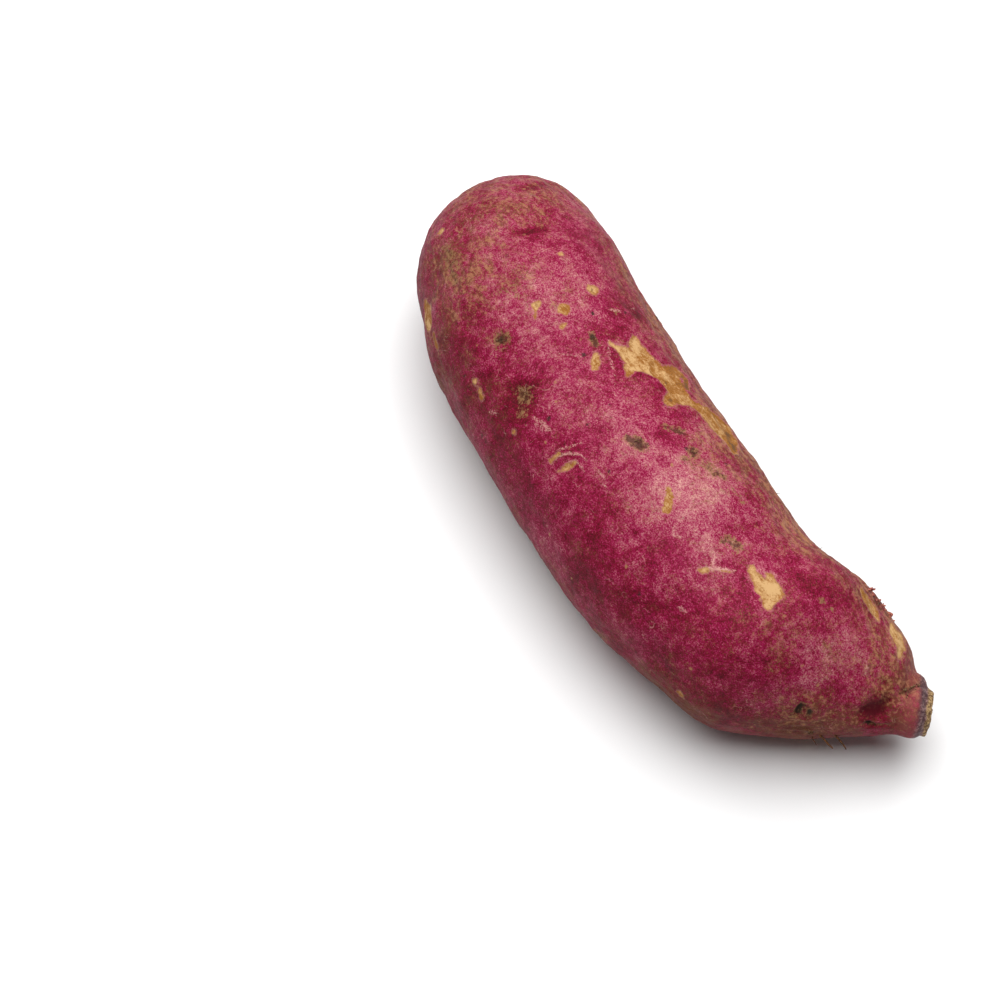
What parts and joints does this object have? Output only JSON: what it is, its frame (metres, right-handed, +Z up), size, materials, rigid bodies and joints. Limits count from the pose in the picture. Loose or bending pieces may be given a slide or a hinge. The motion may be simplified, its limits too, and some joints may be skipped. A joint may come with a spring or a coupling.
{
  "type": "sweet potato",
  "caption": "Whole raw sweet potato with purple-red skin, one bowed root lying on its side, blunt at one end and with a short cut stem stub at the other; food to cook, sort or display.",
  "frame": {"origin": "centre of the root's outer box in plan, on the surface that it lies on", "axes": "+X along the root from its round end to the cut stem, +Y to the hollow side of its bow, +Z up from the surface that it lies on"},
  "size_m": [0.1756, 0.0668, 0.051],
  "materials": {
    "skin": "dry matte plant skin, mottled purple-red and brown, with tan scars and dark root eyes"
  },
  "bodies": {
    "root": {"tuber": "skin"}
  },
  "joints": []
}
